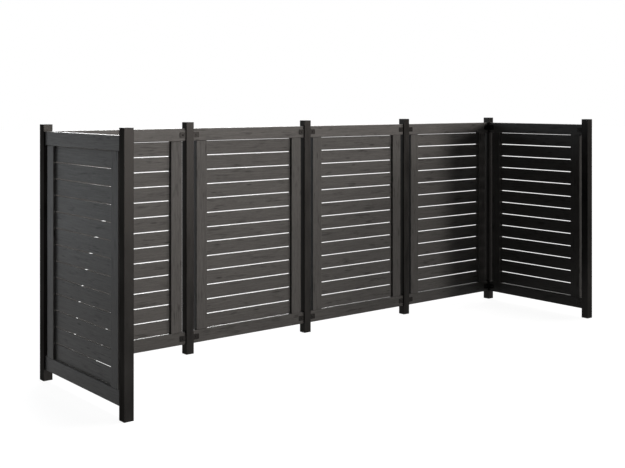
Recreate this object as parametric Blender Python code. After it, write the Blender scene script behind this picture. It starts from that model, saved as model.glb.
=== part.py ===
"""Wheelie bin screen: four slatted panels in a row with one return panel at each end.

Metres, +Z up. The origin is on the ground in the middle of the footprint. +X runs along the back
row, and the screen is open towards -Y. Each panel is modelled in a frame of its own, in which X runs
along the panel, -Y faces the inside of the screen and X = 0 is midway between its two posts.
"""
import math

import bmesh
import bpy
from mathutils import Matrix, Vector

# Layout
BACK_BAYS = 4
BAY_PITCH = 0.792
SEAT_GAP = 0.0003
CUT_OVERRUN = 0.001

# Posts
POST_SIDE = 0.045
POST_HEIGHT = 1.220
POST_WALL = 0.002
POST_CORNER_RADIUS = 0.0008
BORE_CORNER_RADIUS = 0.0006
FOOT_PLATE = 0.004
CAP_PLATE = 0.003
CAP_PLUG_DEPTH = 0.014
CAP_PLUG_WALL = 0.002

# Panel frames
GROUND_CLEARANCE = 0.053
POST_STANDOUT = 0.033
RAIL_HEIGHT = 0.066
STILE_WIDTH = 0.066
FRAME_THICKNESS = 0.029
RAIL_EDGE_RADIUS = 0.003
STILE_EDGE_RADIUS = 0.0015
STILE_TO_POST = 0.0222

# Slats
SLAT_HEIGHT = 0.0727
SLAT_GAP_LEAST = 0.004
SLAT_THICKNESS = 0.006
SLAT_TONGUE = 0.011
SPACER_STANDOUT = 0.0035

# Rail tabs, on the inside of the screen
TAB_LENGTH = 0.036
TAB_HEIGHT = 0.029
TAB_THICKNESS = 0.002
TAB_CORNER_RADIUS = 0.004
SCREW_HOLE_RADIUS = 0.0024
PILOT_HOLE_RADIUS = 0.0016
PILOT_HOLE_DEPTH = 0.018

# Facets of the rounded shapes
EDGE_SEGMENTS = 3
HOLE_SIDES = 12

# What the named sizes work out to
BORE_SIDE = POST_SIDE - 2 * POST_WALL
PANEL_BASE = GROUND_CLEARANCE
PANEL_TOP = POST_HEIGHT - POST_STANDOUT
OPENING_BASE = PANEL_BASE + RAIL_HEIGHT
OPENING_TOP = PANEL_TOP - RAIL_HEIGHT
OPENING_HEIGHT = OPENING_TOP - OPENING_BASE
RAIL_LENGTH = BAY_PITCH - POST_SIDE - 2 * SEAT_GAP
STILE_OUTER_X = BAY_PITCH / 2 - POST_SIDE / 2 - STILE_TO_POST
STILE_INNER_X = STILE_OUTER_X - STILE_WIDTH
TAB_BACK_Y = -FRAME_THICKNESS / 2 - SEAT_GAP
RAIL_CENTRE_HEIGHTS = (PANEL_BASE + RAIL_HEIGHT / 2, PANEL_TOP - RAIL_HEIGHT / 2)

# The screen is one chain of posts and panels that turns a right angle at each back corner
POST_NAMES = (
    ["post_left_end", "post_left_corner"]
    + [f"post_back_{number}" for number in range(1, BACK_BAYS)]
    + ["post_right_corner", "post_right_end"]
)
PANEL_NAMES = (
    ["left_return"]
    + [f"back_{number}" for number in range(1, BACK_BAYS + 1)]
    + ["right_return"]
)
PANEL_TURNS = [math.pi / 2] + [0.0] * BACK_BAYS + [-math.pi / 2]


def clear_scene():
    for item in list(bpy.data.objects):
        bpy.data.objects.remove(item, do_unlink=True)


# Materials

def make_material(name, colour, roughness, metallic=0.0):
    material = bpy.data.materials.new(name)
    material.use_nodes = True
    shader = material.node_tree.nodes["Principled BSDF"]
    shader.inputs["Base Color"].default_value = (*colour, 1.0)
    shader.inputs["Roughness"].default_value = roughness
    shader.inputs["Metallic"].default_value = metallic
    material.diffuse_color = (*colour, 1.0)
    return material


def make_materials():
    return {
        "post": make_material("black_coated_metal", (0.012, 0.012, 0.013), 0.35),
        "cap": make_material("black_plastic", (0.014, 0.014, 0.015), 0.45),
        "board": make_material("grey_brown_board", (0.085, 0.078, 0.070), 0.5),
        "slat": make_material("grey_brown_slat", (0.095, 0.088, 0.080), 0.5),
    }


# Meshes

def rounded_rectangle(width, depth, radius):
    """Corner points of a rectangle centred on zero, anticlockwise, each corner an arc."""
    centres = [
        (width / 2 - radius, depth / 2 - radius),
        (radius - width / 2, depth / 2 - radius),
        (radius - width / 2, radius - depth / 2),
        (width / 2 - radius, radius - depth / 2),
    ]
    points = []
    for quarter, (x, y) in enumerate(centres):
        for step in range(EDGE_SEGMENTS + 1):
            angle = (quarter + step / EDGE_SEGMENTS) * math.pi / 2
            points.append((x + radius * math.cos(angle), y + radius * math.sin(angle)))
    return points


def stile_outline():
    """Cross-section of a stile from above, with the slats' groove towards -X."""
    groove_half = SLAT_THICKNESS / 2 + SEAT_GAP
    groove_floor = SLAT_TONGUE + SEAT_GAP - STILE_WIDTH / 2
    rounded = rounded_rectangle(STILE_WIDTH, FRAME_THICKNESS, STILE_EDGE_RADIUS)
    corner = EDGE_SEGMENTS + 1
    groove = [
        (-STILE_WIDTH / 2, groove_half),
        (groove_floor, groove_half),
        (groove_floor, -groove_half),
        (-STILE_WIDTH / 2, -groove_half),
    ]
    return rounded[:2 * corner] + groove + rounded[2 * corner:]


def extrude_outline(outline, length):
    """A bar along +Z from zero, with the outline as its cross-section."""
    mesh = bmesh.new()
    face = mesh.faces.new([mesh.verts.new((x, y, 0.0)) for x, y in outline])
    bmesh.ops.recalc_face_normals(mesh, faces=[face])
    grown = bmesh.ops.extrude_face_region(mesh, geom=[face])
    top = [item for item in grown["geom"] if isinstance(item, bmesh.types.BMVert)]
    bmesh.ops.translate(mesh, verts=top, vec=(0.0, 0.0, length))
    bmesh.ops.recalc_face_normals(mesh, faces=mesh.faces[:])
    return mesh


def bar(width, depth, radius, base, top):
    """A rounded bar along Z, from one height to another."""
    mesh = extrude_outline(rounded_rectangle(width, depth, radius), top - base)
    bmesh.ops.translate(mesh, verts=mesh.verts[:], vec=(0.0, 0.0, base))
    return mesh


def drill(mesh, centre, direction, radius, depth):
    """Cut a round hole from a point on the surface, as deep as asked."""
    tool = bmesh.new()
    bmesh.ops.create_cone(
        tool, cap_ends=True, segments=HOLE_SIDES, radius1=radius, radius2=radius,
        depth=depth + CUT_OVERRUN,
    )
    middle = Vector(centre) + Vector(direction) * (depth - CUT_OVERRUN) / 2
    turn = Vector((0.0, 0.0, 1.0)).rotation_difference(Vector(direction)).to_matrix().to_4x4()
    bmesh.ops.transform(tool, matrix=Matrix.Translation(middle) @ turn, verts=tool.verts[:])
    return combine(mesh, tool, "DIFFERENCE")


def combine(mesh, other, operation):
    """Boolean of two closed meshes; both are used up and the result is a new one."""
    base = temporary_object("base", mesh)
    tool = temporary_object("tool", other)
    modifier = base.modifiers.new("combine", "BOOLEAN")
    modifier.operation = operation
    modifier.solver = "EXACT"
    modifier.object = tool
    evaluated = base.evaluated_get(bpy.context.evaluated_depsgraph_get())
    result = bmesh.new()
    result.from_mesh(evaluated.to_mesh())
    evaluated.to_mesh_clear()
    for item in (base, tool):
        data = item.data
        bpy.data.objects.remove(item, do_unlink=True)
        bpy.data.meshes.remove(data)
    return result


def temporary_object(name, mesh):
    data = bpy.data.meshes.new(name)
    mesh.to_mesh(data)
    mesh.free()
    item = bpy.data.objects.new(name, data)
    item.hide_render = True
    item.display_type = "WIRE"
    bpy.context.scene.collection.objects.link(item)
    return item


def finished_mesh(name, mesh):
    """Turn a working mesh into a named mesh, smooth over the rounded edges only."""
    data = bpy.data.meshes.new(name)
    mesh.to_mesh(data)
    mesh.free()
    data.shade_smooth()
    data.set_sharp_from_angle(angle=math.radians(35))
    return data


def place(name, data, material, parent, location=(0.0, 0.0, 0.0), turn=0.0):
    """One sub-part of the screen, at its place in its parent's frame."""
    if not data.materials:
        data.materials.append(material)
    item = bpy.data.objects.new(name, data)
    item.parent = parent
    item.location = location
    item.rotation_euler = (0.0, 0.0, turn)
    bpy.context.scene.collection.objects.link(item)
    return item


# Posts and caps

def rail_tab(side):
    """A tab that lies along the inside of a rail, which leads off from the post along side * X."""
    reach = TAB_LENGTH + POST_WALL / 2
    outline = rounded_rectangle(reach, TAB_HEIGHT, TAB_CORNER_RADIUS)
    root = [(-reach / 2, TAB_HEIGHT / 2), (-reach / 2, -TAB_HEIGHT / 2)]
    corner = EDGE_SEGMENTS + 1
    tab = extrude_outline(outline[:corner] + root + outline[3 * corner:], TAB_THICKNESS)
    upright = Matrix.Rotation(math.pi / 2, 4, "X")
    bmesh.ops.transform(tab, matrix=upright, verts=tab.verts[:])
    middle = Vector((POST_SIDE / 2 - POST_WALL / 2 + reach / 2, TAB_BACK_Y, 0.0))
    bmesh.ops.translate(tab, verts=tab.verts[:], vec=middle)
    front = (POST_SIDE / 2 + TAB_LENGTH / 2, TAB_BACK_Y - TAB_THICKNESS, 0.0)
    tab = drill(tab, front, (0.0, 1.0, 0.0), SCREW_HOLE_RADIUS, TAB_THICKNESS + CUT_OVERRUN)
    if side < 0:
        bmesh.ops.scale(tab, vec=(-1.0, 1.0, 1.0), verts=tab.verts[:])
        bmesh.ops.reverse_faces(tab, faces=tab.faces[:])
    return tab


def post_mesh(tab_places):
    """A square tube closed at the foot, with two tabs for each (turn, side) in tab_places."""
    tube_top = POST_HEIGHT - CAP_PLATE - SEAT_GAP
    outside = bar(POST_SIDE, POST_SIDE, POST_CORNER_RADIUS, 0.0, tube_top)
    bore = bar(BORE_SIDE, BORE_SIDE, BORE_CORNER_RADIUS, FOOT_PLATE, tube_top + CUT_OVERRUN)
    post = combine(outside, bore, "DIFFERENCE")
    for turn, side in tab_places:
        for height in RAIL_CENTRE_HEIGHTS:
            tab = rail_tab(side)
            frame = Matrix.Translation((0.0, 0.0, height)) @ Matrix.Rotation(turn, 4, "Z")
            bmesh.ops.transform(tab, matrix=frame, verts=tab.verts[:])
            post = combine(post, tab, "UNION")
    return post


def cap_mesh():
    """A flush cap: a plate as wide as the post over a hollow plug that fits its bore."""
    plug_side = BORE_SIDE - 2 * SEAT_GAP
    hollow_side = plug_side - 2 * CAP_PLUG_WALL
    plate = bar(POST_SIDE, POST_SIDE, POST_CORNER_RADIUS, 0.0, CAP_PLATE)
    plug = bar(plug_side, plug_side, BORE_CORNER_RADIUS, -CAP_PLUG_DEPTH, CAP_PLATE / 2)
    hollow = bar(
        hollow_side, hollow_side, BORE_CORNER_RADIUS, -CAP_PLUG_DEPTH - CUT_OVERRUN, 0.0,
    )
    return combine(combine(plate, plug, "UNION"), hollow, "DIFFERENCE")


def build_posts(materials, places):
    cap_data = finished_mesh("cap", cap_mesh())
    for index, (name, where) in enumerate(zip(POST_NAMES, places)):
        tab_places = []
        if index > 0:
            tab_places.append((PANEL_TURNS[index - 1], -1))
        if index < len(PANEL_TURNS):
            tab_places.append((PANEL_TURNS[index], 1))
        data = finished_mesh(name, post_mesh(tab_places))
        post = place(name, data, materials["post"], None, where)
        cap_seat = (0.0, 0.0, POST_HEIGHT - CAP_PLATE)
        place(name.replace("post", "cap"), cap_data, materials["cap"], post, cap_seat)


# Panels

def rail_mesh():
    """A rail along X, centred on zero, with a pilot hole behind each tab's screw."""
    rail = extrude_outline(
        rounded_rectangle(FRAME_THICKNESS, RAIL_HEIGHT, RAIL_EDGE_RADIUS), RAIL_LENGTH
    )
    bmesh.ops.translate(rail, verts=rail.verts[:], vec=(0.0, 0.0, -RAIL_LENGTH / 2))
    lay_along_x = Matrix(((0, 0, 1, 0), (1, 0, 0, 0), (0, 1, 0, 0), (0, 0, 0, 1)))
    bmesh.ops.transform(rail, matrix=lay_along_x, verts=rail.verts[:])
    screw_x = BAY_PITCH / 2 - POST_SIDE / 2 - TAB_LENGTH / 2
    for x in (-screw_x, screw_x):
        mouth = (x, -FRAME_THICKNESS / 2, 0.0)
        rail = drill(rail, mouth, (0.0, 1.0, 0.0), PILOT_HOLE_RADIUS, PILOT_HOLE_DEPTH)
    return rail


def stile_mesh():
    return extrude_outline(stile_outline(), OPENING_HEIGHT - 2 * SEAT_GAP)


def slat_levels():
    """Heights of every slat's two edges, from the bottom slat up.

    The slats spread evenly over the opening, with half a gap between the outer ones and the rails.
    """
    count = int(OPENING_HEIGHT / (SLAT_HEIGHT + SLAT_GAP_LEAST))
    pitch = OPENING_HEIGHT / count
    bases = [OPENING_BASE + row * pitch + (pitch - SLAT_HEIGHT) / 2 for row in range(count)]
    return [(base, base + SLAT_HEIGHT) for base in bases]


def infill_mesh():
    """The slats of one panel, joined by the spacers that keep them apart.

    The spacers stand in the stiles' grooves and reach a little way out of them. The sheet is laid
    out as a grid of cells in the XZ plane, with no cell where there is a gap.
    """
    tip = STILE_INNER_X + SLAT_TONGUE
    spacer = STILE_INNER_X - SPACER_STANDOUT
    across = [-tip, -spacer, spacer, tip]
    levels = [OPENING_BASE + SEAT_GAP]
    for slat_base, slat_top in slat_levels():
        levels += [slat_base, slat_top]
    levels.append(OPENING_TOP - SEAT_GAP)
    mesh = bmesh.new()
    grid = [[mesh.verts.new((x, -SLAT_THICKNESS / 2, z)) for x in across] for z in levels]
    for row in range(len(levels) - 1):
        is_slat = row % 2 == 1
        for column in range(len(across) - 1):
            if is_slat or column != 1:
                mesh.faces.new((
                    grid[row][column], grid[row][column + 1],
                    grid[row + 1][column + 1], grid[row + 1][column],
                ))
    grown = bmesh.ops.extrude_face_region(mesh, geom=mesh.faces[:])
    back = [item for item in grown["geom"] if isinstance(item, bmesh.types.BMVert)]
    bmesh.ops.translate(mesh, verts=back, vec=(0.0, SLAT_THICKNESS, 0.0))
    bmesh.ops.dissolve_limit(
        mesh, angle_limit=math.radians(1), verts=mesh.verts[:], edges=mesh.edges[:],
    )
    bmesh.ops.recalc_face_normals(mesh, faces=mesh.faces[:])
    return mesh


def build_panels(materials, places):
    rail = finished_mesh("rail", rail_mesh())
    stile = finished_mesh("stile", stile_mesh())
    infill = finished_mesh("infill", infill_mesh())
    stile_x = STILE_OUTER_X - STILE_WIDTH / 2
    seat = OPENING_BASE + SEAT_GAP
    for index, (name, turn) in enumerate(zip(PANEL_NAMES, PANEL_TURNS)):
        frame = bpy.data.objects.new(f"{name}_frame", None)
        frame.location = (places[index] + places[index + 1]) / 2
        frame.rotation_euler = (0.0, 0.0, turn)
        bpy.context.scene.collection.objects.link(frame)
        for rail_name, height in zip(("bottom_rail", "top_rail"), RAIL_CENTRE_HEIGHTS):
            place(f"{name}_{rail_name}", rail, materials["board"], frame, (0.0, 0.0, height))
        for side_name, side, half_turn in (("left", -1, math.pi), ("right", 1, 0.0)):
            stile_at = (side * stile_x, 0.0, seat)
            place(f"{name}_{side_name}_stile", stile, materials["board"], frame, stile_at, half_turn)
        place(f"{name}_slats", infill, materials["slat"], frame)


def post_places():
    """Centres of the posts at ground level, from the left end round to the right end."""
    steps = [Vector((math.cos(turn), math.sin(turn), 0.0)) * BAY_PITCH for turn in PANEL_TURNS]
    places = [Vector((-BACK_BAYS * BAY_PITCH / 2, -BAY_PITCH / 2, 0.0))]
    for step in steps:
        places.append(places[-1] + step)
    return places


def main():
    clear_scene()
    materials = make_materials()
    places = post_places()
    build_posts(materials, places)
    build_panels(materials, places)


main()
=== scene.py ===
"""Looks of the wheelie bin screen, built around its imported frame.

Every piece is modelled in a frame of its own and then placed: a panel's frame has X along the panel
and -Y towards the inside of the screen, and a post's has its origin on the ground. The board
material follows an attribute of each board, metres along, across and through it.
"""

import math
import random

import bmesh
import bpy
import numpy as np
from bpy.props import FloatProperty, FloatVectorProperty, IntProperty, PointerProperty
from mathutils import Matrix, Vector


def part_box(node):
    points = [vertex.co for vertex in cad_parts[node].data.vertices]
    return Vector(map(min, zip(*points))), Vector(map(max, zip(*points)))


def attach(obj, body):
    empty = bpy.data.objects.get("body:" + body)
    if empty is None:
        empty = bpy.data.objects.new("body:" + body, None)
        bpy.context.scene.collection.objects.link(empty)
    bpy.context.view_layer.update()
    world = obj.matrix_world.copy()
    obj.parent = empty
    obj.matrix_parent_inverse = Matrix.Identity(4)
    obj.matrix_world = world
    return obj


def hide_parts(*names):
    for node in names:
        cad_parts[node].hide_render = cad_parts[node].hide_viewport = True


bl_info = {
    "name": "Wheelie Bin Screen",
    "version": (1, 0, 0),
    "blender": (4, 5, 0),
    "location": "View3D > Sidebar > Bin Screen",
    "description": "Models the boards, posts and fittings of a slatted bin screen",
    "category": "Object",
}

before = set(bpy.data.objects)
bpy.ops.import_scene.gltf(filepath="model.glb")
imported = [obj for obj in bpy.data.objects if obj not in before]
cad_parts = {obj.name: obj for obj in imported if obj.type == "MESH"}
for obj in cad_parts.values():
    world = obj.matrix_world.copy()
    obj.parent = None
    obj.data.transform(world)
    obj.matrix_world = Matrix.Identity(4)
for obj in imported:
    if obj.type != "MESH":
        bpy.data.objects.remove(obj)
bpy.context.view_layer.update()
BODY = "root"

# Panels from the left end round to the right end, with the turn of each panel's own frame
BACK_PANELS = ["back_1", "back_2", "back_3", "back_4"]
PANEL_TURNS = {
    "left_return": math.pi / 2,
    **dict.fromkeys(BACK_PANELS, 0.0),
    "right_return": -math.pi / 2,
}
POSTS = ["left_end", "left_corner", "back_1", "back_2", "back_3", "right_corner", "right_end"]

X, Y, Z = 0, 1, 2

# Points closer than this, in metres, count as one
TOUCH = 1e-6

# An edge runs along an axis if this share of its length does
ALONG_SHARE = 0.999

# Faces that meet at less than this are shaded as one
SMOOTH_ANGLE = math.radians(40)


def box_size(node):
    low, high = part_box(node)
    return Vector(high) - Vector(low)


def box_centre(node):
    low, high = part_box(node)
    return (Vector(high) + Vector(low)) / 2


# Sizes read from one panel and one post of the frame, which all its panels and posts share
RAIL = box_size("back_1_top_rail")
STILE = box_size("back_1_left_stile")
SLATS = box_size("back_1_slats")
CAP = box_size("cap_left_end")
SEAT_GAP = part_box("back_1_top_rail")[0][Z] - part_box("back_1_left_stile")[1][Z]
STILE_X = box_centre("back_1_right_stile").x - box_centre("back_1_top_rail").x
RAIL_LEVELS = {
    "bottom": box_centre("back_1_bottom_rail").z,
    "top": box_centre("back_1_top_rail").z,
}
TUBE_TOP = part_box("post_left_end")[1][Z]
TAB_LENGTH = box_size("post_left_end").y - CAP.y

# A screw's head: its rounding and the depth of its driver hole as shares of its height, and the rim
# round that hole as a share of its radius
SCREW_ROUND = 0.7
SCREW_HOLE_DEPTH = 0.45
SCREW_HOLE_RIM = 0.25
SCREW_SIDES = 24

# Ranges that the tone of each board, a factor on its colour, is drawn from. The rails' ranges also
# hold painted light: the top rails are drawn lighter as painted light from above, and the bottom
# rails darker as painted shade near the ground.
RAIL_TONES_AND_PAINTED_LIGHT = {"bottom": (0.81, 0.89), "top": (1.12, 1.24)}
STILE_TONES = (0.9, 1.01)
SLAT_TONES = (0.94, 1.06)

# How far, in metres, the grain of one board can be shifted against another's
GRAIN_SHIFT = 40

# Layers of a board's grain: cycles per metre along, across and through it, with the noise's detail
# and roughness
GRAIN = {
    "fibre": ((45.0, 1100.0, 1100.0), 3.0, 0.55),
    "streak": ((9.0, 260.0, 260.0), 5.0, 0.55),
    "grain": ((7.0, 85.0, 85.0), 4.0, 0.6),
    "cloud": ((3.0, 22.0, 22.0), 3.0, 0.55),
    "flame": ((9.0, 32.0, 32.0), 2.0, 0.55),
}
KNOT_CELLS = (9.0, 45.0, 20.0)

# The values between which a noise does most of its moving
NOISE_BAND = (0.3, 0.7)

# What a layer does to a board's colour: added or multiplied shares of it
STREAK_SHADES = (0.85, 1.15)
FIBRE_SHADES = (-0.16, 0.16)
GRAIN_SHADES = (-0.08, 0.08)
CLOUD_SHADES = (0.95, 1.05)
FLAME_BAND = (0.56, 0.68)
FLAME_STREAK_BAND = (0.4, 0.6)
FLAME_DARKENING = 0.42
KNOT_RADII = (0.08, 0.24)
KNOT_RARITY_BAND = (0.76, 0.84)
KNOT_SHADE = 0.5

# A board's relief and gloss
RELIEF_SHARES = {"streak": 0.6, "fibre": 0.4, "knot": 0.5}
BOARD_BUMP = {"Strength": 0.35, "Distance": 0.0006}
BOARD_ROUGHNESS_SWING = 0.06
BOARD_SPECULAR = 0.075

# The black coating: its rubbing in cycles per metre, its relief and how it takes the light
RUB_STRETCH = (30.0, 30.0, 6.0)
RUB_SHADES = (0.85, 1.2)
RUB_ROUGHNESS = (-0.04, 0.05)
COATING_BUMP = {"Strength": 0.12, "Distance": 0.0001}
COATING_GLOSS = {
    "Metallic": 0.7,
    "Specular IOR Level": 0.0,
    "Specular Tint": (0.44, 0.44, 0.44, 1.0),
}

# The stage, in metres, with the camera's lens and sensor in millimetres
FLOOR_SIDE = 80.0
LIGHT_AIM = (0.0, 0.0, 0.6)
SOFTBOX_SIZE = (1.0, 1.0)
FAR_LIGHT_DISTANCE = 5.0
WHITE = (1.0, 1.0, 1.0)
WARM = (1.06, 1.0, 0.96)
COOL = (0.9, 1.0, 1.09)
CAMERA_PLACE = (-3.607, -4.130, 1.330)
CAMERA_BEARING = math.radians(38.964)
CAMERA_LENS = 57.73
CAMERA_SENSOR = 36.0
CAMERA_SHIFT = -0.2123


class ScreenSizes(bpy.types.PropertyGroup):
    """Small sizes of the screen's pieces, in metres."""
    rail_edge: FloatProperty(
        name="Rail edge", description="Radius of the rails' edges",
        default=0.003, min=0.0005, unit="LENGTH")
    stile_edge: FloatProperty(
        name="Stile edge", description="Radius of the edges round a stile's two sides",
        default=0.0015, min=0.0002, unit="LENGTH")
    stile_end: FloatProperty(
        name="Stile end", description="Radius of the edges across a stile's ends",
        default=0.0025, min=0.0002, unit="LENGTH")
    slat_edge: FloatProperty(
        name="Slat edge", description="Radius of the slats' edges",
        default=0.0012, min=0.0002, unit="LENGTH")
    slat_height: FloatProperty(
        name="Slat height", description="Height of one slat",
        default=0.0727, min=0.01, unit="LENGTH")
    slat_count: IntProperty(
        name="Slats", description="Slats in one panel", default=13, min=2)
    slat_depth: FloatProperty(
        name="Slat in groove", description="How far a slat's end sits in the stile",
        default=0.011, min=0.001, unit="LENGTH")
    spacer_standout: FloatProperty(
        name="Spacer standout", description="How far a spacer reaches out of its groove",
        default=0.0035, min=0.0, unit="LENGTH")
    post_wall: FloatProperty(
        name="Post wall", description="Wall of a post's tube",
        default=0.002, min=0.0005, unit="LENGTH")
    post_foot: FloatProperty(
        name="Foot plate", description="Plate that closes a post at the ground",
        default=0.004, min=0.0005, unit="LENGTH")
    post_edge: FloatProperty(
        name="Post edge", description="Radius of a post's corners",
        default=0.0008, min=0.0002, unit="LENGTH")
    cap_plate: FloatProperty(
        name="Cap plate", description="Plate of a post's cap",
        default=0.003, min=0.0005, unit="LENGTH")
    tab_height: FloatProperty(
        name="Tab height", description="Height of a tab that carries a rail",
        default=0.029, min=0.005, unit="LENGTH")
    tab_thickness: FloatProperty(
        name="Tab thickness", description="Thickness of a tab",
        default=0.002, min=0.0005, unit="LENGTH")
    tab_corner: FloatProperty(
        name="Tab corner", description="Radius of a tab's free corners",
        default=0.004, min=0.0005, unit="LENGTH")
    rim: FloatProperty(
        name="Rim", description="Width of the broken edge round small parts and board ends",
        default=0.0004, min=0.0001, unit="LENGTH")
    screw_radius: FloatProperty(
        name="Screw head", description="Radius of a screw's head",
        default=0.0045, min=0.001, unit="LENGTH")
    screw_rise: FloatProperty(
        name="Screw head height", description="Height of a screw's head",
        default=0.0024, min=0.0005, unit="LENGTH")


class ScreenColours(bpy.types.PropertyGroup):
    """Colours and finishes of the screen."""
    board: FloatVectorProperty(
        name="Board", description="Mean colour of the composite boards",
        subtype="COLOR", size=3, default=(0.1128, 0.109, 0.1044), min=0.0, max=1.0)
    board_roughness: FloatProperty(
        name="Board roughness", description="Mean roughness of the boards",
        subtype="FACTOR", default=0.36, min=0.0, max=1.0)
    coating: FloatVectorProperty(
        name="Coating", description="Colour of the black coating",
        subtype="COLOR", size=3, default=(0.0155, 0.0148, 0.0141), min=0.0, max=1.0)
    coating_roughness: FloatProperty(
        name="Coating roughness", description="Roughness of the black coating",
        subtype="FACTOR", default=0.34, min=0.0, max=1.0)
    floor: FloatVectorProperty(
        name="Floor", description="Colour of the studio floor",
        subtype="COLOR", size=3, default=(0.1, 0.1, 0.1), min=0.0, max=1.0)
    floor_glow: FloatProperty(
        name="Floor glow", description="White of the floor where it is seen, before any light",
        subtype="FACTOR", default=0.945, min=0.0, max=1.0)


# Modelling helpers

def block(name, low, high):
    """A block between two corners."""
    bpy.ops.object.select_all(action="DESELECT")
    bpy.ops.mesh.primitive_cube_add(size=1.0, location=(Vector(low) + Vector(high)) / 2)
    piece = bpy.context.object
    piece.name = name
    piece.scale = Vector(high) - Vector(low)
    bpy.ops.object.transform_apply(location=True, rotation=True, scale=True)
    return piece


def select_only(piece):
    bpy.ops.object.select_all(action="DESELECT")
    piece.select_set(True)
    bpy.context.view_layer.objects.active = piece


def choose(kind, test):
    """In edit mode, select only the edges or faces that pass a test."""
    bpy.ops.mesh.select_mode(type=kind)
    bpy.ops.mesh.select_all(action="DESELECT")
    data = bpy.context.object.data
    mesh = bmesh.from_edit_mesh(data)
    for item in mesh.edges if kind == "EDGE" else mesh.faces:
        if test(item):
            item.select_set(True)
    bmesh.update_edit_mesh(data)


def runs_along(axis):
    """A test for edges that run along an axis."""
    def test(edge):
        run = edge.verts[1].co - edge.verts[0].co
        return abs(run[axis]) > ALONG_SHARE * run.length
    return test


def lies_at(axis, *levels):
    """A test for edges or faces that lie in a plane square to an axis."""
    def test(item):
        return any(
            all(abs(vert.co[axis] - level) < TOUCH for vert in item.verts) for level in levels
        )
    return test


def upright_beyond(level):
    """A test for upright edges whose X is beyond a level, on either side of zero."""
    def test(edge):
        return runs_along(Z)(edge) and abs(edge.verts[0].co.x) > level - TOUCH
    return test


def soften(test, radius, segments):
    """Round the edges that pass a test."""
    bpy.ops.object.mode_set(mode="EDIT")
    choose("EDGE", test)
    bpy.ops.mesh.bevel(offset=radius, segments=segments, profile=0.5, affect="EDGES")
    bpy.ops.object.mode_set(mode="OBJECT")


def push(axis, level, inset, distance):
    """Inset the face that lies at a level on an axis, and push the new face along that axis."""
    move = [0.0, 0.0, 0.0]
    move[axis] = distance
    bpy.ops.object.mode_set(mode="EDIT")
    choose("FACE", lies_at(axis, level))
    bpy.ops.mesh.inset(thickness=inset, use_even_offset=True)
    bpy.ops.mesh.extrude_region_move(TRANSFORM_OT_translate={"value": move})
    bpy.ops.object.mode_set(mode="OBJECT")


def apply_modifier(piece, kind, **settings):
    select_only(piece)
    modifier = piece.modifiers.new("step", kind)
    for name, value in settings.items():
        setattr(modifier, name, value)
    bpy.ops.object.modifier_apply(modifier=modifier.name)


def rout(piece, low, high):
    """Cut a square groove, between two corners, out of a piece."""
    cutter = block("cutter", low, high)
    apply_modifier(piece, "BOOLEAN", operation="DIFFERENCE", solver="EXACT", object=cutter)
    bpy.data.objects.remove(cutter, do_unlink=True)


def smooth(piece):
    """Shade rounded edges smooth and keep flat faces flat."""
    select_only(piece)
    bpy.ops.object.shade_smooth_by_angle(angle=SMOOTH_ANGLE)
    apply_modifier(piece, "WEIGHTED_NORMAL", keep_sharp=True)


def joined(name, parts):
    bpy.ops.object.select_all(action="DESELECT")
    for part in parts:
        part.select_set(True)
    bpy.context.view_layer.objects.active = parts[0]
    bpy.ops.object.join()
    parts[0].name = name
    return parts[0]


def copied(template, name, matrix):
    """A copy with its own mesh, with its place in the mesh."""
    piece = template.copy()
    piece.data = template.data.copy()
    piece.name = name
    piece.data.name = name
    piece.data.transform(matrix)
    bpy.context.scene.collection.objects.link(piece)
    return piece


def finish_piece(piece, material, slot, *nodes):
    """Dress a piece, and let it ride and stand for its nodes."""
    piece.data.materials.clear()
    piece.data.materials.append(material)
    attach(piece, BODY)
    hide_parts(*nodes)


def mark_board(piece, along, across, through, seed, tone_and_light_range, level_of=None):
    """Store where every point lies on its board, shifted so that no two boards share their grain.

    Each board draws the tone of its colour from the given range, a random tone that for the rails
    also holds painted light on the top rails and painted shade on the bottom ones. level_of gives
    the index and the centre height of the board that a height belongs to, for a piece that is made
    of several boards.
    """
    count = len(piece.data.vertices)
    points = np.empty(count * 3)
    piece.data.vertices.foreach_get("co", points)
    points = points.reshape(-1, 3)
    chance = random.Random(seed)
    shifts, tones_and_painted_light = {}, {}
    place = np.empty((count, 3))
    tone_and_painted_light = np.empty(count)
    for index, point in enumerate(points):
        board, centre = level_of(point[Z]) if level_of else (0, 0.0)
        if board not in shifts:
            shifts[board] = np.array([chance.uniform(0, GRAIN_SHIFT) for _ in range(3)])
            tones_and_painted_light[board] = chance.uniform(*tone_and_light_range)
        local = point - np.array([0.0, 0.0, centre])
        place[index] = local[[along, across, through]] + shifts[board]
        tone_and_painted_light[index] = tones_and_painted_light[board]
    piece.data.attributes.new("board_place", "FLOAT_VECTOR", "POINT")
    piece.data.attributes.new("board_tone_and_painted_light", "FLOAT", "POINT")
    piece.data.attributes["board_place"].data.foreach_set("vector", place.ravel())
    piece.data.attributes["board_tone_and_painted_light"].data.foreach_set("value", tone_and_painted_light)


def panel_matrix(panel):
    """Places a panel's own frame: on the ground, midway between its posts."""
    centre = box_centre(f"{panel}_top_rail")
    turn = Matrix.Rotation(PANEL_TURNS[panel], 4, "Z")
    return Matrix.Translation((centre.x, centre.y, 0.0)) @ turn


def post_matrix(post):
    """Places a post's own frame, on the ground under the middle of its cap."""
    centre = box_centre(f"cap_{post}")
    return Matrix.Translation((centre.x, centre.y, 0.0))


# Materials

def new_material(name):
    material = bpy.data.materials.get(name) or bpy.data.materials.new(name)
    material.use_nodes = True
    return material


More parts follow.
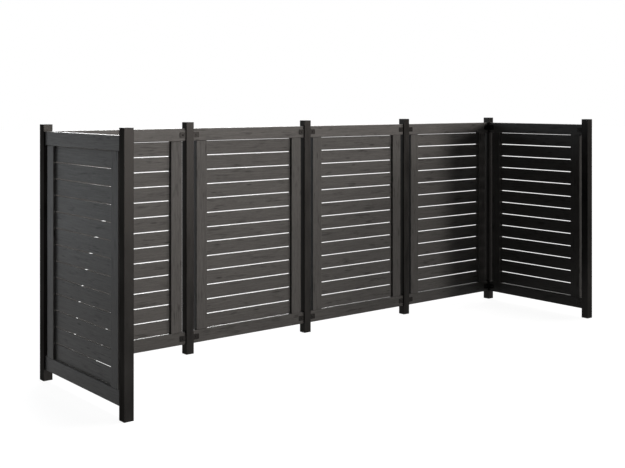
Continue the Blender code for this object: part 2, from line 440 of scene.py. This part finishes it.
class Nodes:
    """Adds nodes to a material or a world and wires them."""

    def __init__(self, owner):
        self.owner = owner
        self.tree = owner.node_tree
        self.tree.nodes.clear()

    def add(self, kind, inputs=None, **settings):
        node = self.tree.nodes.new(kind)
        for name, value in settings.items():
            setattr(node, name, value)
        for name, value in (inputs or {}).items():
            if isinstance(value, bpy.types.NodeSocket):
                self.tree.links.new(value, node.inputs[name])
            else:
                node.inputs[name].default_value = value
        return node

    def math(self, operation, first, second):
        node = self.add("ShaderNodeMath", operation=operation)
        for socket, value in zip(node.inputs, (first, second)):
            if isinstance(value, bpy.types.NodeSocket):
                self.tree.links.new(value, socket)
            else:
                socket.default_value = value
        return node.outputs[0]

    def remap(self, value, band, new_band):
        """Carry the values of one band over to another, and hold those outside it at its ends."""
        inputs = {
            "Value": value, "From Min": band[0], "From Max": band[1],
            "To Min": new_band[0], "To Max": new_band[1],
        }
        return self.add("ShaderNodeMapRange", inputs).outputs["Result"]

    def scaled(self, vector, factor):
        node = self.add("ShaderNodeVectorMath", operation="SCALE")
        node.inputs["Vector"].default_value = vector
        self.tree.links.new(factor, node.inputs["Scale"])
        return node.outputs["Vector"]

    def stretched(self, vector, scale):
        return self.add("ShaderNodeMapping", {"Vector": vector, "Scale": scale}).outputs["Vector"]

    def noise(self, vector, scale=1.0, detail=4.0, roughness=0.55):
        inputs = {"Vector": vector, "Scale": scale, "Detail": detail, "Roughness": roughness}
        return self.add("ShaderNodeTexNoise", inputs).outputs["Fac"]

    def seen(self):
        """One for the rays that show a backdrop: seen straight, reflected or through glass."""
        rays = self.add("ShaderNodeLightPath").outputs
        straight_or_reflected = self.math("MAXIMUM", rays["Is Camera Ray"], rays["Is Glossy Ray"])
        return self.math("MAXIMUM", straight_or_reflected, rays["Is Transmission Ray"])

    def finish(self, kind, surface):
        self.add(kind, {"Surface": surface})


def board_material(colours):
    """Brushed composite board: fine fibres, soft grain, darker flames and a few small knots."""
    nodes = Nodes(new_material("composite_board"))
    place = nodes.add("ShaderNodeAttribute", attribute_name="board_place").outputs["Vector"]
    tone_and_painted_light = nodes.add("ShaderNodeAttribute", attribute_name="board_tone_and_painted_light").outputs["Fac"]
    layers = {
        name: nodes.noise(nodes.stretched(place, stretch), detail=detail, roughness=roughness)
        for name, (stretch, detail, roughness) in GRAIN.items()
    }
    streak, fibre = layers["streak"], layers["fibre"]
    flame = nodes.remap(layers["flame"], FLAME_BAND, (0.0, 1.0))
    cell = nodes.add("ShaderNodeTexVoronoi", {
        "Vector": nodes.stretched(place, KNOT_CELLS), "Scale": 1.0, "Randomness": 1.0,
    })
    spot = nodes.remap(cell.outputs["Distance"], KNOT_RADII, (1.0, 0.0))
    rare = nodes.add("ShaderNodeSeparateColor", {"Color": cell.outputs["Color"]}).outputs["Red"]
    knot = nodes.math("MULTIPLY", spot, nodes.remap(rare, KNOT_RARITY_BAND, (0.0, 1.0)))

    shade = nodes.math("ADD", nodes.remap(streak, NOISE_BAND, STREAK_SHADES),
                       nodes.remap(fibre, NOISE_BAND, FIBRE_SHADES))
    shade = nodes.math("ADD", shade, nodes.remap(layers["grain"], NOISE_BAND, GRAIN_SHADES))
    shade = nodes.math("MULTIPLY", shade, nodes.remap(layers["cloud"], NOISE_BAND, CLOUD_SHADES))
    # The tone scales the colour: a random tone per board, and on the rails painted light on the top
    # ones and painted shade on the bottom ones.
    shade = nodes.math("MULTIPLY", shade, tone_and_painted_light)
    dark_streak = nodes.remap(streak, FLAME_STREAK_BAND, (FLAME_DARKENING, 0.0))
    dark_grain = nodes.math("MULTIPLY", flame, dark_streak)
    shade = nodes.math("MULTIPLY", shade, nodes.remap(dark_grain, (0.0, 1.0), (1.0, 0.0)))
    shade = nodes.math("MULTIPLY", shade, nodes.remap(knot, (0.0, 1.0), (1.0, KNOT_SHADE)))

    height = nodes.math("ADD", nodes.math("MULTIPLY", streak, RELIEF_SHARES["streak"]),
                        nodes.math("MULTIPLY", fibre, RELIEF_SHARES["fibre"]))
    height = nodes.math("SUBTRACT", height, nodes.math("MULTIPLY", knot, RELIEF_SHARES["knot"]))
    bump = nodes.add("ShaderNodeBump", {**BOARD_BUMP, "Height": height})
    mean = colours.board_roughness
    rough = nodes.remap(streak, NOISE_BAND,
                        (mean + BOARD_ROUGHNESS_SWING, mean - BOARD_ROUGHNESS_SWING))
    shader = nodes.add("ShaderNodeBsdfPrincipled", {
        "Base Color": nodes.scaled(colours.board, shade), "Roughness": rough,
        "Normal": bump.outputs["Normal"], "Specular IOR Level": BOARD_SPECULAR,
    })
    nodes.finish("ShaderNodeOutputMaterial", shader.outputs["BSDF"])
    return nodes.owner


def coating_material(name, colours, roughness_share, grit):
    """Black coating: even, satin, with a fine texture of grit per metre and faint rubbing."""
    nodes = Nodes(new_material(name))
    place = nodes.add("ShaderNodeTexCoord").outputs["Object"]
    fine = nodes.noise(place, scale=grit, detail=2.0)
    rub = nodes.noise(nodes.stretched(place, RUB_STRETCH), detail=4.0)
    mean = colours.coating_roughness * roughness_share
    rough = nodes.remap(rub, NOISE_BAND, [mean + change for change in RUB_ROUGHNESS])
    tint = nodes.scaled(colours.coating, nodes.remap(rub, NOISE_BAND, RUB_SHADES))
    bump = nodes.add("ShaderNodeBump", {**COATING_BUMP, "Height": fine})
    shader = nodes.add("ShaderNodeBsdfPrincipled", {
        "Base Color": tint, "Roughness": rough, "Normal": bump.outputs["Normal"], **COATING_GLOSS,
    })
    nodes.finish("ShaderNodeOutputMaterial", shader.outputs["BSDF"])
    return nodes.owner


def post_coating(colours):
    return coating_material("black_coating", colours, roughness_share=1.0, grit=2600.0)


# Pieces

def board(name, length, width, thickness, sizes):
    """A board along X, centred on zero, with rounded long edges and broken ends."""
    half = Vector((length, thickness, width)) / 2
    piece = block(name, -half, half)
    soften(runs_along(X), sizes.rail_edge, segments=5)
    soften(lies_at(X, -half.x, half.x), sizes.rim, segments=2)
    return piece


class SCREEN_OT_add_rails(bpy.types.Operator):
    """Model the rails, two to a panel"""
    bl_idname = "screen.add_rails"
    bl_label = "Add rails"

    def execute(self, context):
        sizes = context.scene.screen_sizes
        material = board_material(context.scene.screen_colours)
        rail = board("rail", RAIL.x, RAIL.z, RAIL.y, sizes)
        smooth(rail)
        for panel in PANEL_TURNS:
            for level, height in RAIL_LEVELS.items():
                node = f"{panel}_{level}_rail"
                piece = copied(rail, f"{node}_board", Matrix())
                # The tone for each level paints light on the top rails and shade on the bottom
                # rails.
                mark_board(piece, X, Z, Y, node, RAIL_TONES_AND_PAINTED_LIGHT[level])
                piece.data.transform(panel_matrix(panel) @ Matrix.Translation((0.0, 0.0, height)))
                finish_piece(piece, material, "rail", node)
        bpy.data.objects.remove(rail, do_unlink=True)
        return {"FINISHED"}


class SCREEN_OT_add_stiles(bpy.types.Operator):
    """Model the stiles, each with a groove for the slats"""
    bl_idname = "screen.add_stiles"
    bl_label = "Add stiles"

    def execute(self, context):
        sizes = context.scene.screen_sizes
        material = board_material(context.scene.screen_colours)
        half = STILE / 2
        stile = block("stile", -half, half)
        soften(runs_along(X), sizes.stile_end, segments=4)
        soften(lies_at(X, -half.x, half.x), sizes.stile_edge, segments=3)
        reach = SLATS.y / 2 + SEAT_GAP
        floor = -half.x + sizes.slat_depth + SEAT_GAP
        rout(stile, (-STILE.x, -reach, -STILE.z), (floor, reach, STILE.z))
        smooth(stile)
        height = box_centre("back_1_left_stile").z
        for panel in PANEL_TURNS:
            for name, side, turn in (("left", -1, math.pi), ("right", 1, 0.0)):
                node = f"{panel}_{name}_stile"
                piece = copied(stile, f"{node}_board", Matrix())
                mark_board(piece, Z, X, Y, node, STILE_TONES)
                lift = Matrix.Translation((side * STILE_X, 0.0, height))
                facing = Matrix.Rotation(turn, 4, "Z")
                piece.data.transform(panel_matrix(panel) @ lift @ facing)
                finish_piece(piece, material, "stile", node)
        bpy.data.objects.remove(stile, do_unlink=True)
        return {"FINISHED"}


class SCREEN_OT_add_slats(bpy.types.Operator):
    """Model each panel's slats, with the spacers between them in the stiles' grooves"""
    bl_idname = "screen.add_slats"
    bl_label = "Add slats"

    def execute(self, context):
        sizes = context.scene.screen_sizes
        material = board_material(context.scene.screen_colours)
        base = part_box("back_1_slats")[0][Z] - SEAT_GAP
        pitch = (SLATS.z + 2 * SEAT_GAP) / sizes.slat_count
        gap = pitch - sizes.slat_height
        half = Vector((SLATS.x, SLATS.y, sizes.slat_height)) / 2
        slat = block("slat", -half, half)
        soften(runs_along(X), sizes.slat_edge, segments=3)
        for vert in slat.data.vertices:
            vert.co.z += base + pitch / 2
        array = {
            "use_relative_offset": False,
            "use_constant_offset": True,
            "constant_offset_displace": (0, 0, pitch),
        }
        apply_modifier(slat, "ARRAY", count=sizes.slat_count, **array)
        inner = half.x - sizes.slat_depth - sizes.spacer_standout
        reach = gap / 2 - SEAT_GAP

        def spacer(low, high):
            piece = block("spacer", (inner, -half.y, low), (half.x, half.y, high))
            soften(lambda edge: runs_along(Z)(edge) and edge.verts[0].co.x < inner + TOUCH,
                   sizes.rim, segments=2)
            return piece

        top = base + sizes.slat_count * pitch
        between = spacer(base + pitch - reach, base + pitch + reach)
        apply_modifier(between, "ARRAY", count=sizes.slat_count - 1, **array)
        right = joined("spacers", [
            between, spacer(base + SEAT_GAP, base + reach), spacer(top - reach, top - SEAT_GAP)])
        left = copied(right, "spacers", Matrix.Rotation(math.pi, 4, "Z"))
        slat = joined("slats", [slat, right, left])
        smooth(slat)

        def level_of(height):
            row = min(int((height - base) / pitch), sizes.slat_count - 1)
            return row, base + (row + 0.5) * pitch

        for panel in PANEL_TURNS:
            node = f"{panel}_slats"
            piece = copied(slat, f"{panel}_slat_boards", Matrix())
            mark_board(piece, X, Z, Y, node, SLAT_TONES, level_of)
            piece.data.transform(panel_matrix(panel))
            finish_piece(piece, material, "slat", node)
        bpy.data.objects.remove(slat, do_unlink=True)
        return {"FINISHED"}


class SCREEN_OT_add_posts(bpy.types.Operator):
    """Model the posts, square tubes closed at the foot"""
    bl_idname = "screen.add_posts"
    bl_label = "Add posts"

    def execute(self, context):
        sizes = context.scene.screen_sizes
        material = post_coating(context.scene.screen_colours)
        half = CAP.x / 2
        tube = block("tube", (-half, -half, 0.0), (half, half, TUBE_TOP))
        push(Z, TUBE_TOP, sizes.post_wall, sizes.post_foot - TUBE_TOP)
        soften(upright_beyond(half), sizes.post_edge, segments=4)
        smooth(tube)
        for name in POSTS:
            piece = copied(tube, f"post_{name}_tube", post_matrix(name))
            finish_piece(piece, material, "post", f"post_{name}")
        bpy.data.objects.remove(tube, do_unlink=True)
        return {"FINISHED"}


class SCREEN_OT_add_caps(bpy.types.Operator):
    """Model the posts' caps, plates with a hollow plug"""
    bl_idname = "screen.add_caps"
    bl_label = "Add caps"

    def execute(self, context):
        sizes = context.scene.screen_sizes
        material = coating_material("black_cap", context.scene.screen_colours,
                                    roughness_share=1.15, grit=1800.0)
        half = CAP.x / 2
        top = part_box("cap_left_end")[1][Z]
        seat = top - sizes.cap_plate
        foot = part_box("cap_left_end")[0][Z]
        cap = block("cap", (-half, -half, seat), (half, half, top))
        push(Z, seat, sizes.post_wall + SEAT_GAP, foot - seat)
        push(Z, foot, sizes.post_wall, seat - foot)
        soften(upright_beyond(half), sizes.post_edge, segments=4)
        soften(lies_at(Z, top), sizes.rim * 2, segments=3)
        smooth(cap)
        for name in POSTS:
            piece = copied(cap, f"cap_{name}_plate", post_matrix(name))
            finish_piece(piece, material, "cap", f"cap_{name}")
        bpy.data.objects.remove(cap, do_unlink=True)
        return {"FINISHED"}


def screw(sizes):
    """A button-head screw along Y, its head towards -Y and its seat at zero."""
    bpy.ops.object.select_all(action="DESELECT")
    rise = sizes.screw_rise
    bpy.ops.mesh.primitive_cylinder_add(
        vertices=SCREW_SIDES, radius=sizes.screw_radius, depth=rise,
        location=(0.0, -rise / 2, 0.0), rotation=(math.pi / 2, 0.0, 0.0))
    head = bpy.context.object
    bpy.ops.object.transform_apply(location=True, rotation=True, scale=True)
    soften(lies_at(Y, -rise), rise * SCREW_ROUND, segments=4)
    push(Y, -rise, sizes.screw_radius * SCREW_HOLE_RIM, rise * SCREW_HOLE_DEPTH)
    return head


def tab(sizes):
    """A tab that reaches along +X from a post at zero, on the -Y side of a rail."""
    reach = (CAP.x / 2, CAP.x / 2 + TAB_LENGTH)
    back = -RAIL.y / 2 - SEAT_GAP
    front = back - sizes.tab_thickness
    high = sizes.tab_height / 2
    piece = block("tab", (reach[0] - sizes.rim, front, -high), (reach[1], back, high))
    soften(lambda edge: runs_along(Y)(edge) and edge.verts[0].co.x > reach[1] - TOUCH,
           sizes.tab_corner, segments=5)
    soften(lies_at(Y, front), sizes.rim, segments=2)
    head = screw(sizes)
    head.data.transform(Matrix.Translation((sum(reach) / 2, front, 0.0)))
    return joined("tab", [piece, head])


class SCREEN_OT_add_tabs(bpy.types.Operator):
    """Model the tabs that carry the rails, with their screws"""
    bl_idname = "screen.add_tabs"
    bl_label = "Add tabs"

    def execute(self, context):
        sizes = context.scene.screen_sizes
        material = post_coating(context.scene.screen_colours)
        template = tab(sizes)
        smooth(template)
        panels = list(PANEL_TURNS)
        for index, name in enumerate(POSTS):
            at_post = post_matrix(name)
            parts = []
            for side, neighbour in ((-1, index - 1), (1, index)):
                if 0 <= neighbour < len(panels):
                    turn = Matrix.Rotation(PANEL_TURNS[panels[neighbour]], 4, "Z")
                    over = Matrix.Rotation(math.pi if side < 0 else 0.0, 4, "Y")
                    for height in RAIL_LEVELS.values():
                        lift = Matrix.Translation((0.0, 0.0, height))
                        parts.append(copied(template, "tab", at_post @ lift @ turn @ over))
            finish_piece(joined(f"post_{name}_tabs", parts), material, "post", f"post_{name}")
        bpy.data.objects.remove(template, do_unlink=True)
        return {"FINISHED"}


# Stage

def add_lamp(name, lamp, place, aim):
    """Place a lamp where the camera doesn't see it, aimed at a point."""
    light = bpy.data.objects.new(name, lamp)
    light.matrix_world = Matrix.Translation(place) @ (
        (Vector(aim) - Vector(place)).to_track_quat("-Z", "Y").to_matrix().to_4x4())
    light.visible_camera = False
    bpy.context.scene.collection.objects.link(light)


def softbox(name, place, power, colour, aim=LIGHT_AIM, spread=180.0):
    """A near square light, with its power in watts and the angle it spreads over in degrees."""
    lamp = bpy.data.lights.new(name, "AREA")
    lamp.color = colour
    lamp.shape = "RECTANGLE"
    lamp.size, lamp.size_y = SOFTBOX_SIZE
    lamp.energy = power
    lamp.spread = math.radians(spread)
    add_lamp(name, lamp, place, aim)


def far_light(name, bearing, rise, spread, strength, colour):
    """A wide distant light: bearing from the front towards the right, rise above the ground.

    All angles are in degrees, and spread is the light's own width.
    """
    lamp = bpy.data.lights.new(name, "SUN")
    lamp.color = colour
    lamp.angle = math.radians(spread)
    lamp.energy = strength
    turn, lift = math.radians(bearing), math.radians(rise)
    level = math.cos(lift)
    aim = Vector((-math.sin(turn) * level, math.cos(turn) * level, -math.sin(lift)))
    add_lamp(name, lamp, -FAR_LIGHT_DISTANCE * aim, (0.0, 0.0, 0.0))


class SCREEN_OT_add_stage(bpy.types.Operator):
    """Add the floor, the lights and the camera"""
    bl_idname = "screen.add_stage"
    bl_label = "Add stage"

    def execute(self, context):
        self.add_floor(context.scene.screen_colours)
        self.add_world(context.scene)
        self.add_lights()
        self.add_camera(context.scene)
        context.scene.view_settings.view_transform = "Standard"
        return {"FINISHED"}

    def add_floor(self, colours):
        bpy.ops.object.select_all(action="DESELECT")
        bpy.ops.mesh.primitive_plane_add(size=FLOOR_SIDE)
        floor = bpy.context.object
        floor.name = "studio_floor"
        nodes = Nodes(new_material("studio_floor"))
        matt = nodes.add("ShaderNodeBsdfDiffuse", {"Color": (*colours.floor, 1.0)})
        strength = nodes.math("MULTIPLY", nodes.seen(), colours.floor_glow)
        glow = nodes.add("ShaderNodeEmission", {"Strength": strength})
        both = nodes.add("ShaderNodeAddShader")
        nodes.tree.links.new(matt.outputs["BSDF"], both.inputs[0])
        nodes.tree.links.new(glow.outputs["Emission"], both.inputs[1])
        nodes.finish("ShaderNodeOutputMaterial", both.outputs["Shader"])
        floor.data.materials.append(nodes.owner)

    def add_world(self, scene):
        world = scene.world or bpy.data.worlds.new("studio")
        scene.world = world
        world.use_nodes = True
        nodes = Nodes(world)
        sky = nodes.add("ShaderNodeBackground",
                        {"Color": (*WHITE, 1.0), "Strength": nodes.seen()})
        nodes.finish("ShaderNodeOutputWorld", sky.outputs["Background"])

    def add_lights(self):
        softbox("front", (1.5, -4.5, 0.5), power=2.0, colour=WARM)
        softbox("left_high", (-2.7, 0.0, 2.1), power=1.2, colour=COOL, aim=(-2.0, 0.0, 0.6),
                spread=80.0)
        softbox("left_low", (-3.0, 3.0, 0.6), power=3.0, colour=COOL)
        softbox("back_left", (-1.0, 2.6, 1.6), power=13.0, colour=COOL)
        far_light("key", bearing=26.0, rise=0.5, spread=12.0, strength=1.65, colour=WARM)
        far_light("front_right", bearing=62.0, rise=18.0, spread=18.0, strength=1.3, colour=WARM)
        far_light("above", bearing=90.0, rise=75.0, spread=20.0, strength=2.4, colour=WHITE)
        far_light("behind", bearing=150.0, rise=25.0, spread=20.0, strength=2.2, colour=WHITE)

    def add_camera(self, scene):
        data = bpy.data.cameras.new("camera")
        data.lens = CAMERA_LENS
        data.sensor_width = CAMERA_SENSOR
        data.shift_y = CAMERA_SHIFT
        camera = bpy.data.objects.new("camera", data)
        camera.location = CAMERA_PLACE
        camera.rotation_euler = (math.pi / 2, 0.0, -CAMERA_BEARING)
        scene.collection.objects.link(camera)
        scene.camera = camera


STEPS = (
    SCREEN_OT_add_posts, SCREEN_OT_add_caps, SCREEN_OT_add_tabs, SCREEN_OT_add_rails,
    SCREEN_OT_add_stiles, SCREEN_OT_add_slats, SCREEN_OT_add_stage,
)


class SCREEN_PT_pieces(bpy.types.Panel):
    """Lists the screen's pieces and their sizes"""
    bl_label = "Bin screen"
    bl_idname = "SCREEN_PT_pieces"
    bl_space_type = "VIEW_3D"
    bl_region_type = "UI"
    bl_category = "Bin Screen"

    def draw(self, context):
        for group in (context.scene.screen_sizes, context.scene.screen_colours):
            for name in group.__annotations__:
                self.layout.prop(group, name)
        for step in STEPS:
            self.layout.operator(step.bl_idname)


CLASSES = (ScreenSizes, ScreenColours, *STEPS, SCREEN_PT_pieces)


def register():
    for item in CLASSES:
        bpy.utils.register_class(item)
    bpy.types.Scene.screen_sizes = PointerProperty(type=ScreenSizes)
    bpy.types.Scene.screen_colours = PointerProperty(type=ScreenColours)


def unregister():
    del bpy.types.Scene.screen_sizes
    del bpy.types.Scene.screen_colours
    for item in reversed(CLASSES):
        bpy.utils.unregister_class(item)


def main():
    register()
    bpy.ops.screen.add_posts()
    bpy.ops.screen.add_caps()
    bpy.ops.screen.add_tabs()
    bpy.ops.screen.add_rails()
    bpy.ops.screen.add_stiles()
    bpy.ops.screen.add_slats()
    bpy.ops.screen.add_stage()


if __name__ == "__main__":
    main()
